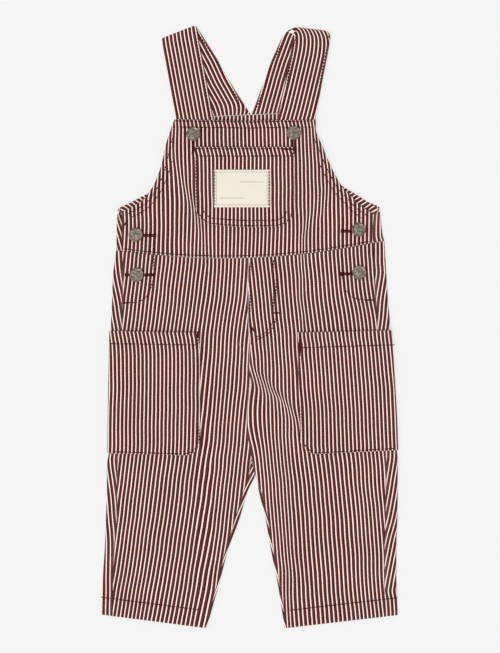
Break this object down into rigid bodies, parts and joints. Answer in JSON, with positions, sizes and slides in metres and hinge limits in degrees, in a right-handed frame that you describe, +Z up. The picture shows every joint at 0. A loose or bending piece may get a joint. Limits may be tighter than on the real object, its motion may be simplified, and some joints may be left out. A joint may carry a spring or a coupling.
{
  "type": "dungarees",
  "caption": "Small child's bib dungarees in striped cotton twill, laid flat face up, with patch pockets, folded shoulder straps, side openings and metal tack buttons.",
  "frame": {"origin": "middle of the underside of the garment's box, on the surface that it lies on", "axes": "+X to the viewer's right, +Y from the hems towards the shoulder straps, +Z up, out of the garment's front"},
  "size_m": [0.297, 0.6042, 0.0081],
  "materials": {
    "striped_twill": "matt cotton twill, fine warp stripes of dark maroon brown and pinkish white about 4 mm apart, dark red thread",
    "label_cotton": "plain woven cream cotton tape with a plain stitched border",
    "antique_brass": "pressed brass, darkened to an antique grey green, brushed back on the rims"
  },
  "bodies": {
    "root": {"front_bib": "striped_twill", "back_bib": "striped_twill", "front_leg_left": "striped_twill", "front_leg_right": "striped_twill", "back_leg_left": "striped_twill", "back_leg_right": "striped_twill", "strap_left": "striped_twill", "strap_right": "striped_twill", "bib_pocket": "striped_twill", "side_pocket_left": "striped_twill", "side_pocket_right": "striped_twill", "button_stand_left": "striped_twill", "button_stand_right": "striped_twill", "label": "label_cotton", "bib_button_left": "antique_brass", "bib_button_right": "antique_brass", "side_button_left_upper": "antique_brass", "side_button_left_lower": "antique_brass", "side_button_right_upper": "antique_brass", "side_button_right_lower": "antique_brass"}
  },
  "joints": []
}
